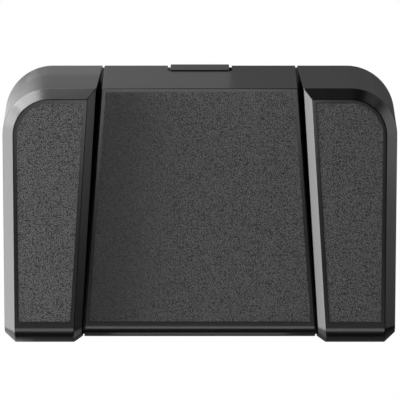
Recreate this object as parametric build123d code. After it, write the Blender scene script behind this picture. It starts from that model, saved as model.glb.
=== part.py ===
from build123d import *
from math import asin, atan2, cos, degrees, pi, radians, sin, sqrt, tan
import os

# Foot switch with three sprung pedals side by side on one tray.
# Millimetres. X runs to the right, Y to the rear, Z up; the origin is under the middle of the outline.

# Overall size
body_width = 240.0
body_depth = 170.5
body_height = 56.0
port_proud = 0.5

# Outer form of the pedals
deck_front_height = 23.2
rear_lean_run = 15.4
rear_chamfer_run = 7.0
deck_step = 4.5
outer_chamfer = 6.5
inner_chamfer = 4.85
ridge_corner_radius = 29.0
deck_corner_radius = 22.3
foot_corner_radius = 30.0
side_roll_radius = 11.5
outer_roll_radius = 5.6
outer_setback = 6.2
front_corner_radius = 8.5
centre_roll_radius = 8.4
centre_setback = 3.5
skirt_front_z = 4.0
skirt_rear_z = 9.5
pedal_wall = 2.5

# Seams between the centre pedal and the side pedals
centre_width_share = 0.5435
seam_at_floor = 0.7
seam_slant_deg = 4.25
centre_draft_deg = 0.8
side_draft_deg = 2.2
inner_wall_lift = 4.5

# Hinge along the front and travel of the pedals
hinge_inset = 11.5
hinge_z = 12.0
pedal_travel_deg = 2.1
pin_radius = 2.0
pin_end_gap = 0.6
knuckle_radius = 4.5
knuckle_length = 9.0
bearing_wall = 1.0
ear_wall = 1.2
ear_thickness = 4.0
ear_gap = 0.6
snap_mouth_share = 0.86
centre_ear_x = 14.0

# Ribs under the decks
rib_thickness = 1.6
rib_depth = 4.0
side_rib_xs_shares = (0.33, 0.7)
centre_rib_xs_shares = (-0.72, -0.44, -0.18, 0.18, 0.44, 0.72)
rib_ys_shares = (0.24, 0.46, 0.6, 0.86)

# Tray, steel plate and rubber feet
foot_height = 2.0
plate_thickness = 1.5
floor_thickness = 2.0
rim_height = 5.0
rim_knuckle_gap = 0.5
rim_thickness = 2.0
tray_side_gap = 5.0
tray_rear_gap = 10.5
tray_front_gap = 7.0
tray_rear_corner_radius = 25.0
tray_front_corner_radius = 5.0
plate_edge_gap = 1.0
plate_front_corner_radius = 5.0
foot_length = 78.0
foot_width = 13.0
foot_corner = 5.0
foot_edge = 0.5
foot_margin = 6.0

# Catches at the rear that hold each pedal down on its springs
catch_z = 15.0
catch_thickness = 2.0
catch_reach = 2.3
catch_width = 10.0
catch_play = 0.1
lug_width = 8.0
lug_thickness = 2.5
lug_wall_gap = 0.7
side_catch_insets = (6.6, 20.6)
centre_catch_inset = 17.4
catch_port_gap = 1.5

# Springs with a rubber bump stop inside each
spring_wire = 1.1
spring_radius = 4.95
spring_length = 22.5
spring_turns = 6
spring_board_gap = 9.0
centre_spring_inset = 27.4
spring_facets = 6
cup_gap = 0.6
cup_wall = 1.5
cup_height = 6.0
peg_radius = 3.2
peg_height = 9.0
stop_height = 3.0
stop_play = 0.15
seat_radius = 7.0

# Snap-action switches with a hinged lever
case_length = 20.0
case_width = 6.4
case_height = 10.0
case_z = 11.5
case_edge = 0.4
case_hole_pitch = 9.5
case_hole_radius = 1.15
case_hole_z = 2.9
lever_contact = 14.0
lever_reach = 17.0
lever_width = 3.6
lever_thickness = 0.4
lever_rise_deg = 9.5
lever_barrel_radius = 0.7
lever_pivot_inset = 1.8
lever_pivot_lift = 0.35
button_radius = 0.9
button_offset = 5.5
button_depth = 2.5
button_bore_depth = 3.6
nose_radius = 1.5
nose_width = 5.0
nose_gap = 0.1
lever_place_share = 0.355
terminal_width = 3.2
terminal_thickness = 0.5
terminal_length = 4.6
terminal_pitch = 7.6
bracket_thickness = 2.5
bracket_height = 9.0
gusset_length = 7.0

# Small screws
screw_radius = 1.0
screw_head_radius = 1.9
screw_head_height = 1.3
fit_gap = 0.05
board_screw_length = 3.4
case_screw_grip = 2.2

# Screws that hold the plate to the tray
base_screw_radius = 1.5
base_screw_head_radius = 2.9
base_screw_head_height = 1.3
base_screw_length = 9.0
base_boss_wall = 2.0
base_boss_cap = 1.5
base_screw_side_inset = 20.0
base_screw_centre_inset = 15.4
base_screw_front_inset = 26.0
base_screw_rear_inset = 22.5

# Circuit board with the computer socket
board_width = 54.0
board_depth = 30.4
board_thickness = 1.6
board_lift = 1.0
board_screw_inset = 4.0
board_post_radius = 2.6
tongue_width = 23.0
board_corner = 1.5
socket_width = 9.0
socket_height = 3.3
socket_depth = 7.5
socket_skin = 0.3
socket_tongue = 0.7
socket_tongue_width = 6.7
socket_corner = 1.2
header_width = 6.0
header_depth = 4.6
header_height = 5.0
header_wall = 0.7
header_pitch = 14.0

# Chips on the board: x and y from its middle, width, depth and height
chip_table = (
    (0, 3.8, 7.0, 7.0, 1.4),
    (-10.8, -4.6, 4.9, 3.9, 1.5),
    (12.0, 5.6, 5.0, 3.2, 1.8),
    (13.0, -4.6, 3.2, 1.6, 1.0),
    (-13.0, 6.6, 3.0, 1.6, 1.1),
)

# Leads from the board to the switches
lead_radius = 0.9
lead_floor_gap = 0.15
lead_straight = 9.2
lead_fall = 23.0
lead_swing = 3.5
lead_cross_share = 0.74
lead_bend_share = 0.45

# Housing around the socket at the rear
port_width = 36.0
port_top_z = 14.0
port_lean_z = 13.2
tab_top_gap = 0.2
tab_front_gap = 0.35
tab_edge = 0.4
tab_root_lean = 1.1
port_wall = 2.2
port_web = 0.8
port_inner_gap = 0.7
port_ear_width = 7.5
port_ear_height = 2.0
plug_width = 13.0
plug_height = 6.4
plug_corner = 2.5
plug_depth = 5.5
socket_hole_gap = 0.15
notch_side_gap = 1.65
notch_top_z = 20.5

# Cuts reach this far past what they cut
overrun = 20.0

# Values worked out from the sizes above
front_y = -(body_depth + port_proud) / 2
rear_y = front_y + body_depth
ridge_y = rear_y - rear_lean_run
deck_rear_y = ridge_y - rear_chamfer_run
slope = atan2(body_height - deck_front_height, deck_rear_y - front_y)
half_width = body_width / 2
centre_half_width = centre_width_share * half_width
side_middle_x = (centre_half_width + half_width) / 2
step_normal = deck_step * cos(slope)
mitre_share = tan(pi / 8)
hinge_y = front_y + hinge_inset
travel = radians(pedal_travel_deg)
slant = tan(radians(seam_slant_deg))
centre_draft = tan(radians(centre_draft_deg))
side_draft = tan(radians(side_draft_deg))
plate_top_z = foot_height + plate_thickness
floor_top_z = plate_top_z + floor_thickness
spring_top_z = floor_top_z + spring_length
side_pin_end_x = half_width - pedal_wall - pin_end_gap
tray_half_width = half_width - tray_side_gap
tray_rear_y = rear_y - tray_rear_gap
tray_front_y = front_y + tray_front_gap
rim_top_z = floor_top_z + rim_height

# Places along the rear: port housing, then board, then springs
port_face_y = rear_y + port_proud
plug_floor_y = port_face_y - plug_depth
web_y = plug_floor_y - port_web
port_front_y = tray_rear_y - 2 * rim_thickness - fit_gap
board_rear_y = port_front_y - fit_gap
board_front_y = board_rear_y - board_depth
tongue_rear_y = web_y - port_inner_gap
spring_y = board_front_y - spring_board_gap
centre_spring_x = centre_half_width - centre_spring_inset
port_catch_x = port_width / 2 + port_ear_width + catch_port_gap + catch_width / 2
centre_catch_xs = (port_catch_x, centre_half_width - centre_catch_inset)
side_catch_xs = [centre_half_width + inset for inset in side_catch_insets]

# Heights of the board and the socket on it
board_bottom_z = floor_top_z + board_lift
board_top_z = board_bottom_z + board_thickness
socket_z = board_top_z + socket_height / 2
header_mouth_z = board_top_z + header_height / 2


def deck_z(y):
    """Height of the side pedals' deck plane, above Y."""
    return body_height + (y - deck_rear_y) * tan(slope)


def shoulder_z(y):
    """Height of the centre pedal's deck plane, which the side chamfers meet."""
    return deck_z(y) - deck_step


lean_share = rear_lean_run / (shoulder_z(ridge_y) - skirt_rear_z)


def rear_face_y(z, inset=0):
    """Place of the leaning rear face at a height, or of a parallel face inside it."""
    return rear_y - lean_share * (z - skirt_rear_z) - inset * sqrt(1 + lean_share**2)


def skirt_z(y):
    """Height of the pedals' lower edge, which rises to the rear to leave room for the travel."""
    rise = (skirt_rear_z - skirt_front_z) / (rear_y - front_y)
    return skirt_front_z + (y - front_y) * rise


def seam_x(y, z):
    """Half width of the centre pedal at a place."""
    return centre_half_width - slant * y - centre_draft * z


def side_wall_x(y, z):
    """Place of the right pedal's inner wall."""
    return centre_half_width + seam_at_floor - slant * y + side_draft * z


def pressed_drop(y):
    """How far a point of a pedal at Y goes down at full travel."""
    return (y - hinge_y) * sin(travel)


def block(x0, x1, y0, y1, z0, z1):
    """A box between two corners."""
    return Pos((x0 + x1) / 2, (y0 + y1) / 2, (z0 + z1) / 2) * Box(x1 - x0, y1 - y0, z1 - z0)


def post(x, y, z0, z1, radius):
    """An upright cylinder."""
    return Pos(x, y, (z0 + z1) / 2) * Cylinder(radius, z1 - z0)


def rod(x0, x1, y, z, radius):
    """A cylinder that lies along X."""
    return Pos((x0 + x1) / 2, y, z) * Rot(0, 90, 0) * Cylinder(radius, x1 - x0)


def rod_y(x, y0, y1, z, radius):
    """A cylinder that lies along Y."""
    return Pos(x, (y0 + y1) / 2, z) * Rot(90, 0, 0) * Cylinder(radius, y1 - y0)


def side_profile(points, x0, x1):
    """A prism between two X values over a closed outline of (y, z) points."""
    face = Plane.YZ * make_face(Polyline(*points, close=True))
    return extrude(Pos(x0, 0, 0) * face, amount=x1 - x0, dir=(1, 0, 0))


def both_sides(make, xs):
    """The same feature at each X and at its mirror image."""
    return [make(sign * x) for x in xs for sign in (-1, 1)]


def joined(shapes):
    """One solid out of several that meet."""
    whole = shapes[0]
    for shape in shapes[1:]:
        whole = whole + shape
    return whole


def group(shapes):
    """Separate solids kept in one node."""
    return Compound(children=list(shapes))


def save(node, shape):
    """One file for each piece or group of like pieces."""
    export_step(shape, f"parts/{node}.step")
    print(node, "volume", round(shape.volume))


# Pedal shells


def rolled_profile(drop, nose_y_at, radius):
    """Area under a line that runs parallel to the deck, drop below it, and rolls over into the front."""
    low = -overrun
    far = rear_y + overrun
    centre_y = nose_y_at + radius
    tangent_y = centre_y - radius * sin(slope)
    offset = drop / cos(slope)
    tangent_z = deck_z(tangent_y) - offset
    centre_z = tangent_z - radius * cos(slope)
    half_turn = (pi / 2 + slope) / 2
    middle = (centre_y - radius * sin(half_turn), centre_z + radius * cos(half_turn))
    outline = [
        Line((nose_y_at, low), (nose_y_at, centre_z)),
        ThreePointArc((nose_y_at, centre_z), middle, (tangent_y, tangent_z)),
        Line((tangent_y, tangent_z), (far, deck_z(far) - offset)),
        Line((far, deck_z(far) - offset), (far, low)),
        Line((far, low), (nose_y_at, low)),
    ]
    return Plane.YZ * make_face(outline)


def seam_plane(shift):
    """Plane of the right pedal's inner wall, moved to the right by shift."""
    origin = (centre_half_width + seam_at_floor + shift, 0, 0)
    return Plane(origin=origin, x_dir=(-slant, 1, 0), z_dir=(1, slant, -side_draft))


def corner_outline(height, y_rear, x_outer, wall_shift, radius):
    """Plan of a side pedal on the plane z = height(y), with its rear outer corner rounded."""
    y_front = front_y - overrun
    rise = height(1) - height(0)
    plane = Plane(origin=(0, 0, height(0)), x_dir=(1, 0, 0), z_dir=(0, -rise, 1))

    def on_plane(x, y):
        local = plane.to_local_coords(Vector(x, y, height(y)))
        return (local.X, local.Y)

    front_inner = on_plane(side_wall_x(y_front, height(y_front)) + wall_shift, y_front)
    rear_inner = on_plane(side_wall_x(y_rear, height(y_rear)) + wall_shift, y_rear)
    corner = on_plane(x_outer, y_rear)
    front_outer = on_plane(x_outer, y_front)
    arc_start = (corner[0] - radius, corner[1])
    arc_end = (corner[0], corner[1] - radius)
    bulge = radius * (1 - sqrt(1 / 2))
    arc_middle = (corner[0] - bulge, corner[1] - bulge)
    outline = [
        Line(front_inner, rear_inner),
        Line(rear_inner, arc_start),
        ThreePointArc(arc_start, arc_middle, arc_end),
        Line(arc_end, front_outer),
        Line(front_outer, front_inner),
    ]
    return plane * make_face(outline)


def front_plan(x_side, y_corner, x_nose, y_nose, radius):
    """Plan that rounds the corner where the outer side meets the slanted end of the front."""
    run_x = x_side - x_nose
    run_y = y_corner - y_nose
    turn = atan2(run_x, run_y)
    tangent = radius * tan(turn / 2)
    bulge = radius / cos(turn / 2) - radius
    middle = (x_side - bulge * cos(turn / 2), y_corner + bulge * sin(turn / 2))
    arc_end = (x_side - tangent * sin(turn), y_corner - tangent * cos(turn))
    far = (x_nose - run_x, y_nose - run_y)
    y_far = rear_y + overrun
    outline = [
        Line((0, y_far), (x_side, y_far)),
        Line((x_side, y_far), (x_side, y_corner + tangent)),
        ThreePointArc((x_side, y_corner + tangent), middle, arc_end),
        Line(arc_end, far),
        Line(far, (0, far[1])),
        Line((0, far[1]), (0, y_far)),
    ]
    plan = Pos(0, 0, -overrun) * make_face(outline)
    return extrude(plan, amount=body_height + 2 * overrun, dir=(0, 0, 1))


def side_solid(inset):
    """Full form of the right pedal, or the form that lies inset inside all of its faces."""
    mitre = mitre_share * inset
    shoulder_drop = step_normal + mitre
    low = -overrun

    def shoulder(y):
        return deck_z(y) - shoulder_drop / cos(slope)

    def deck(y):
        return deck_z(y) - inset / cos(slope)

    shoulder_rear = rear_face_y(shoulder(0), inset) / (1 + lean_share * tan(slope))
    deck_wall_shift = inner_chamfer - side_draft * deck_step + mitre
    bottom = corner_outline(
        lambda y: low, rear_face_y(low, inset), half_width - inset, inset, foot_corner_radius - inset
    )
    middle = corner_outline(
        shoulder, shoulder_rear, half_width - inset, inset, ridge_corner_radius - inset
    )
    top = corner_outline(
        deck,
        deck_rear_y - mitre,
        half_width - outer_chamfer - mitre,
        deck_wall_shift,
        deck_corner_radius - mitre,
    )
    body = loft([bottom, middle], ruled=True) + loft([middle, top], ruled=True)

    # The deck and its chamfers roll over the front together.
    deck_roll = rolled_profile(inset, front_y + inset, side_roll_radius - inset)
    corner_y = front_y + outer_setback + mitre
    outer_roll = rolled_profile(shoulder_drop, corner_y, outer_roll_radius - mitre)
    inner_roll = rolled_profile(
        shoulder_drop, front_y + centre_setback + mitre, centre_roll_radius - mitre
    )
    x_start = centre_half_width / 2
    x_chamfer = half_width - outer_chamfer - mitre
    long_deck = extrude(Pos(x_start, 0, 0) * deck_roll, amount=half_width, dir=(1, 0, 0))
    long_inner = extrude(Pos(x_start, 0, 0) * inner_roll, amount=half_width, dir=(1, 0, 0))
    between = extrude(Pos(x_start, 0, 0) * deck_roll, amount=x_chamfer - x_start, dir=(1, 0, 0))
    between = split(between, bisect_by=seam_plane(deck_wall_shift), keep=Keep.TOP)
    outer_edge = loft(
        [Pos(x_chamfer, 0, 0) * deck_roll, Pos(half_width - inset, 0, 0) * outer_roll], ruled=True
    )
    deck_cut = section(long_deck, section_by=seam_plane(deck_wall_shift)).faces()[0]
    wall_cut = section(long_inner, section_by=seam_plane(inset)).faces()[0]
    inner_edge = loft([deck_cut, wall_cut], ruled=True)
    rolled = body & (between + outer_edge + inner_edge)
    corner_radius = front_corner_radius - inset
    return rolled & front_plan(
        half_width - inset, corner_y, x_chamfer, front_y + inset, corner_radius
    )


def centre_solid(inset):
    """Full form of the centre pedal, or the form that lies inset inside all of its faces."""
    drop = step_normal + inset
    roll = rolled_profile(drop, front_y + centre_setback + inset, centre_roll_radius - inset)
    prism = extrude(Pos(-half_width, 0, 0) * roll, amount=body_width, dir=(1, 0, 0))
    low = -overrun
    high = body_height + overrun
    rear_cut = side_profile(
        [
            (rear_face_y(low, inset), low),
            (rear_face_y(high, inset), high),
            (rear_y + 2 * overrun, high),
            (rear_y + 2 * overrun, low),
        ],
        -body_width,
        body_width,
    )
    prism = prism - rear_cut
    for sign in (-1, 1):
        wall = Plane(
            origin=(sign * (centre_half_width - inset), 0, 0),
            x_dir=(-sign * slant, 1, 0),
            z_dir=(sign, slant, centre_draft),
        )
        prism = split(prism, bisect_by=wall, keep=Keep.BOTTOM)
    return prism


def under_line(height, y0, y1, x0, x1):
    """Everything below the line z = height(y) between two Y and two X values."""
    low = -2 * overrun
    return side_profile([(y0, low), (y1, low), (y1, height(y1)), (y0, height(y0))], x0, x1)


def inner_wall_relief(x0, x1):
    """Room under the walls beside the seams, so that they clear the tray at full travel."""
    low = -2 * overrun
    y0 = front_y + centre_setback + pedal_wall
    z0 = skirt_z(y0) + inner_wall_lift
    z1 = skirt_rear_z + inner_wall_lift
    y1 = rear_face_y(z1, pedal_wall)
    points = [(y0, low), (rear_face_y(low, pedal_wall), low), (y1, z1), (y0, z0)]
    return side_profile(points, x0, x1)


def ribs(xs, ys, height, x0, x1):
    """A grid of ribs that hangs under a deck."""
    half = rib_thickness / 2
    y0 = hinge_y + knuckle_radius
    y1 = deck_rear_y
    along = [block(x - half, x + half, y0, y1, 0, body_height) for x in xs]
    across = [block(x0, x1, y - half, y + half, 0, body_height) for y in ys]
    depth = (pedal_wall + rib_depth) / cos(slope)
    return joined(along + across) - under_line(
        lambda y: height(y) - depth, front_y - overrun, rear_y + overrun, -body_width, body_width
    )


def knuckle(x0, x1):
    """Hinge boss with the web that carries it from the deck."""
    web = block(x0, x1, hinge_y - knuckle_radius, hinge_y + knuckle_radius, hinge_z, body_height)
    return web + rod(x0, x1, hinge_y, hinge_z, knuckle_radius)


def spring_seat(x):
    """Round boss that presses on a spring, with the post that lands on the bump stop."""
    boss = post(x, spring_y, spring_top_z, body_height, seat_radius)
    landing_z = floor_top_z + peg_height + stop_height + pressed_drop(spring_y) + stop_play
    return boss + post(x, spring_y, landing_z, spring_top_z, peg_radius)


def lug(x):
    """Catch that hooks under the tray's lip."""
    z1 = catch_z - catch_play
    y0 = tray_rear_y + lug_wall_gap
    return block(x - lug_width / 2, x + lug_width / 2, y0, rear_y, z1 - lug_thickness, z1)


def actuator(x):
    """Blade under the deck whose round nose works the switch lever."""
    half = nose_width / 2
    y0 = nose_y - nose_radius
    blade = block(x - half, x + half, y0, nose_y + nose_radius, nose_z, body_height)
    rib_half = rib_thickness / 2
    rib_z = nose_z + 2 * nose_radius
    rib = block(x - rib_half, x + rib_half, nose_y, nose_y + 2 * nose_width, rib_z, body_height)
    return blade + rib + rod(x - half, x + half, nose_y, nose_z, nose_radius)


def pedal_shell(form, hollow, features, relief, bore):
    """Open-bottomed shell with its inner features, trimmed to the outer form."""
    skin = form - hollow
    inner = joined(features) & form
    reach = body_width
    trim = under_line(skirt_z, front_y - overrun, rear_y + 2 * overrun, -reach, reach)
    return (skin - relief) + inner - trim - bore


def right_pedal():
    form = side_solid(0)
    hollow = side_solid(pedal_wall)
    wall_x = side_wall_x(hinge_y, hinge_z)
    x_outer = half_width - pedal_wall / 2
    width = half_width - wall_x
    rib_xs = [wall_x + share * width for share in side_rib_xs_shares]
    rib_ys = [front_y + share * body_depth for share in rib_ys_shares]
    features = [
        knuckle(wall_x - overrun, wall_x + knuckle_length + pedal_wall),
        knuckle(x_outer - knuckle_length, x_outer),
        ribs(rib_xs, rib_ys, deck_z, wall_x - overrun, x_outer),
        spring_seat(side_middle_x),
        actuator(side_middle_x),
    ] + [lug(x) for x in side_catch_xs]
    relief = inner_wall_relief(wall_x - overrun, side_wall_x(rear_y, 0) + 2 * overrun)
    outer_part = seam_plane(pedal_wall + fit_gap)
    relief = split(relief, bisect_by=outer_part, keep=Keep.BOTTOM)
    bore = rod(wall_x - overrun, side_pin_end_x, hinge_y, hinge_z, pin_radius)
    return pedal_shell(form, hollow, features, relief, bore)


def centre_pedal():
    form = centre_solid(0)
    hollow = centre_solid(pedal_wall)
    wall_x = seam_x(hinge_y, hinge_z)
    rib_xs = [share * wall_x for share in centre_rib_xs_shares]
    rib_ys = [front_y + share * body_depth for share in rib_ys_shares]
    x_inner = wall_x - pedal_wall - knuckle_length
    features = (
        [knuckle(x_inner, wall_x + overrun), knuckle(-wall_x - overrun, -x_inner)]
        + [ribs(rib_xs, rib_ys, shoulder_z, -wall_x, wall_x)]
        + both_sides(spring_seat, [centre_spring_x])
        + [actuator(0)]
        + both_sides(lug, centre_catch_xs)
    )
    inner_part = centre_half_width / 2
    relief = inner_wall_relief(-body_width, -inner_part) + inner_wall_relief(inner_part, body_width)
    bore = rod(-body_width, body_width, hinge_y, hinge_z, pin_radius)
    half_notch = port_width / 2 + notch_side_gap
    notch = block(-half_notch, half_notch, deck_rear_y, rear_y + overrun, -overrun, notch_top_z)
    return pedal_shell(form, hollow, features, relief, bore) - notch


# Switch parts


lever_contact_y = hinge_y + lever_place_share * body_depth
pivot_y = lever_contact_y - lever_contact
pivot_z = case_z + case_height + lever_pivot_lift
case_y = pivot_y - lever_pivot_inset + case_length / 2
nose_offset = nose_radius + lever_thickness / 2 + nose_gap
rise = radians(lever_rise_deg)
nose_y = pivot_y + lever_contact * cos(rise) - nose_offset * sin(rise)
nose_z = pivot_z + lever_contact * sin(rise) + nose_offset * cos(rise)

# Where the nose is at full travel, and the lever angle that keeps the same gap there.
arm_y = nose_y - hinge_y
arm_z = nose_z - hinge_z
pressed_nose_y = hinge_y + arm_y * cos(travel) + arm_z * sin(travel)
pressed_nose_z = hinge_z + arm_z * cos(travel) - arm_y * sin(travel)
reach_y = pressed_nose_y - pivot_y
reach_z = pressed_nose_z - pivot_z
pressed_rise = atan2(reach_z, reach_y) - asin(nose_offset / sqrt(reach_y**2 + reach_z**2))
lever_ratio = (rise - pressed_rise) / travel

# The button touches the lever with the side of its top that is nearer the pivot.
button_contact = button_offset - button_radius
button_clear = lever_pivot_lift - lever_thickness / 2 - fit_gap
button_rest = button_clear + button_contact * tan(rise)
button_pressed = button_clear + button_contact * tan(pressed_rise)
button_ratio = (button_rest - button_pressed) / travel


def switch_case(x):
    """Moulded case with two screw holes, the button's bore and the lever's notch."""
    top = case_z + case_height
    shape = Pos(x, case_y, case_z + case_height / 2) * Box(case_width, case_length, case_height)
    shape = chamfer(shape.edges().filter_by(Axis.Z), case_edge)
    for hole_y in case_hole_ys():
        reach = case_width
        shape = shape - rod(x - reach, x + reach, hole_y, case_z + case_hole_z, case_hole_radius)
    half_notch = lever_width / 2 + fit_gap
    notch = rod(x - half_notch, x + half_notch, pivot_y, pivot_z, lever_barrel_radius + fit_gap)
    bore_y = pivot_y + button_offset
    bore = post(x, bore_y, top - button_bore_depth, top + fit_gap, button_radius + fit_gap)
    return shape - notch - bore


def case_hole_ys():
    return (case_y - case_hole_pitch / 2, case_y + case_hole_pitch / 2)


def switch_lever(x):
    """Spring steel strip with its root rolled into a barrel."""
    half = lever_width / 2
    strip = block(x - half, x + half, 0, lever_reach, -lever_thickness / 2, lever_thickness / 2)
    strip = Pos(0, pivot_y, pivot_z) * Rot(lever_rise_deg, 0, 0) * strip
    return strip + rod(x - half, x + half, pivot_y, pivot_z, lever_barrel_radius)


def switch_button(x):
    top = case_z + case_height
    return post(x, pivot_y + button_offset, top - button_depth, top + button_rest, button_radius)


def switch_terminals(x):
    """Three flat tabs under the case."""
    half = terminal_width / 2
    tabs = []
    for place in (-1, 0, 1):
        y = case_y + place * terminal_pitch
        y0 = y - terminal_thickness / 2
        y1 = y + terminal_thickness / 2
        tabs.append(block(x - half, x + half, y0, y1, case_z - terminal_length, case_z))
    return tabs


def bracket(x, side):
    """Upright plate that the switch is screwed to, with a gusset behind it."""
    near = x + side * case_width / 2
    far = near + side * bracket_thickness
    z0 = floor_top_z - floor_thickness / 2
    z1 = case_z + bracket_height
    x0, x1 = sorted((near, far))
    plate = block(x0, x1, case_y - case_length / 2, case_y + case_length / 2, z0, z1)
    tip = far + side * gusset_length
    half = rib_thickness / 2
    corners = [(far, z0), (tip, z0), (far, z1)]
    gusset = Plane.XZ * make_face(Polyline(*corners, close=True))
    gusset = Pos(0, case_y + half, 0) * extrude(gusset, amount=rib_thickness)
    return plate + gusset


def bracket_bores(x, side):
    near = x + side * case_width / 2
    x0, x1 = sorted((near, near + side * case_screw_grip))
    z = case_z + case_hole_z
    return [rod(x0, x1, y, z, screw_radius + fit_gap) for y in case_hole_ys()]


def switch_screws(x, side):
    """Pan-head screws through the case into the bracket."""
    z = case_z + case_hole_z
    face = x - side * case_width / 2
    end = x + side * (case_width / 2 + case_screw_grip)
    head = face - side * screw_head_height
    screws = []
    for y in case_hole_ys():
        shank = rod(min(face, end), max(face, end), y, z, screw_radius)
        screws.append(shank + rod(min(face, head), max(face, head), y, z, screw_head_radius))
    return screws


# Hinge


def pin_span_side():
    """Ends of the right pedal's pin."""
    return (side_wall_x(hinge_y, hinge_z) + pin_end_gap, side_pin_end_x)


bearing_radius = pin_radius + bearing_wall
ear_radius = bearing_radius + ear_wall


def ear_spans():
    """X ranges of the tray's hinge ears: two for each side pedal and three for the centre."""
    inner = side_wall_x(hinge_y, hinge_z) + knuckle_length + pedal_wall + ear_gap
    outer = half_width - pedal_wall / 2 - knuckle_length - ear_gap
    centre = seam_x(hinge_y, hinge_z) - pedal_wall - knuckle_length - ear_gap
    right = [
        (inner, inner + ear_thickness),
        (outer - ear_thickness, outer),
        (centre - ear_thickness, centre),
        (centre_ear_x, centre_ear_x + ear_thickness),
    ]
    left = [(-x1, -x0) for x0, x1 in right]
    return right + left


def ear(x0, x1):
    """Post with a snap mouth at the top, into which the bearing and pin are pressed."""
    foot_z = floor_top_z - floor_thickness / 2
    solid = rod(x0, x1, hinge_y, hinge_z, ear_radius)
    solid = solid + block(x0, x1, hinge_y - ear_radius, hinge_y + ear_radius, foot_z, hinge_z)
    mouth = bearing_radius * snap_mouth_share
    solid = solid - block(x0, x1, hinge_y - mouth, hinge_y + mouth, hinge_z, hinge_z + overrun)
    return solid - rod(x0, x1, hinge_y, hinge_z, bearing_radius)


def bearing(x0, x1):
    ring = rod(x0, x1, hinge_y, hinge_z, bearing_radius)
    return ring - rod(x0, x1, hinge_y, hinge_z, pin_radius + fit_gap)


# Tray

# Each switch's X and the side of it that its bracket stands on
bracket_places = ((-side_middle_x, 1), (0, 1), (side_middle_x, -1))


def slab(x, y0, y1, front_radius, rear_radius, z0, z1):
    """Flat slab from -x to x with its front and rear corners rounded."""
    plan = make_face(Polyline((-x, y0), (x, y0), (x, y1), (-x, y1), close=True))
    rear = plan.vertices().filter_by(lambda v: v.Y > 0)
    plan = fillet(rear, rear_radius)
    front = plan.vertices().sort_by(Axis.Y)[:2]
    plan = fillet(front, front_radius)
    return extrude(Pos(0, 0, z0) * plan, amount=z1 - z0, dir=(0, 0, 1))


def tray_slab(inset, z0, z1):
    """Slab with the tray's outline moved inwards by inset."""
    return slab(
        tray_half_width - inset,
        tray_front_y + inset,
        tray_rear_y - inset,
        tray_front_corner_radius - inset,
        tray_rear_corner_radius - inset,
        z0,
        z1,
    )


def base_screw_places():
    xs = (half_width - base_screw_side_inset, centre_half_width - base_screw_centre_inset)
    ys = (hinge_y + base_screw_front_inset, tray_rear_y - base_screw_rear_inset)
    return [(sign * x, y) for y in ys for x in xs for sign in (-1, 1)]


def board_screw_places():
    x = board_width / 2 - board_screw_inset
    y0 = board_front_y + board_screw_inset
    y1 = board_rear_y - board_screw_inset
    return [(-x, y0), (x, y0), (-x, y1), (x, y1)]


def port_screw_places():
    x = port_width / 2 + port_ear_width / 2
    y = (port_front_y + tray_rear_y) / 2
    return [(-x, y), (x, y)]


def spring_places():
    return [(sign * x, spring_y) for x in (side_middle_x, centre_spring_x) for sign in (-1, 1)]


def spring_cup(x, y):
    """Ring that centres a spring, with the peg that carries its bump stop."""
    inner = spring_radius + spring_wire / 2 + cup_gap
    foot_z = floor_top_z - floor_thickness / 2
    ring = post(x, y, foot_z, floor_top_z + cup_height, inner + cup_wall)
    ring = ring - post(x, y, floor_top_z, floor_top_z + cup_height, inner)
    return ring + post(x, y, foot_z, floor_top_z + peg_height, peg_radius)


def catch(x):
    """Tower on the rear rim with the lip that a pedal's lug hooks under."""
    half = catch_width / 2
    top = catch_z + catch_thickness
    foot_z = floor_top_z - floor_thickness / 2
    y0 = tray_rear_y - rim_thickness
    tower = block(x - half, x + half, y0, tray_rear_y, foot_z, top)
    return tower + block(x - half, x + half, y0, tray_rear_y + catch_reach, catch_z, top)


def rim_gaps():
    """Boxes cut from the rim for the walls beside the seams, the port housing and the knuckles."""
    inner = seam_x(tray_rear_y, 0) - 2 * pedal_wall
    front_x = side_wall_x(tray_front_y, 0) + 2 * pedal_wall
    rear_x = side_wall_x(tray_rear_y, 0) + 2 * pedal_wall
    front_end_y = tray_front_y + rim_thickness + fit_gap
    rear_start_y = port_front_y
    gaps = []
    for sign in (-1, 1):
        x0, x1 = sorted((sign * inner, sign * front_x))
        gaps.append(block(x0, x1, front_y, front_end_y, floor_top_z, rim_top_z))
        x0, x1 = sorted((sign * inner, sign * rear_x))
        gaps.append(block(x0, x1, rear_start_y, rear_y, floor_top_z, rim_top_z))
    port_x = port_width / 2 + port_ear_width + fit_gap
    gaps.append(block(-port_x, port_x, rear_start_y, rear_y, floor_top_z, rim_top_z))
    knuckle_z = hinge_z - knuckle_radius - rim_knuckle_gap
    knuckle_y = hinge_y + knuckle_radius + 2 * rim_knuckle_gap
    gaps.append(block(-half_width, half_width, front_y, knuckle_y, knuckle_z, rim_top_z))
    return gaps


def tray_bores():
    """Screw holes in the brackets, posts, bosses and rear rim."""
    bores = []
    for x, side in bracket_places:
        bores += bracket_bores(x, side)
    radius = screw_radius + fit_gap
    board_end = board_top_z - board_screw_length
    bores += [post(x, y, board_end, board_bottom_z, radius) for x, y in board_screw_places()]
    port_end = floor_top_z + port_ear_height - board_screw_length
    bores += [post(x, y, port_end, floor_top_z, radius) for x, y in port_screw_places()]
    base_end = foot_height + base_screw_length
    radius = base_screw_radius + fit_gap
    bores += [post(x, y, plate_top_z, base_end, radius) for x, y in base_screw_places()]
    return bores


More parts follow.
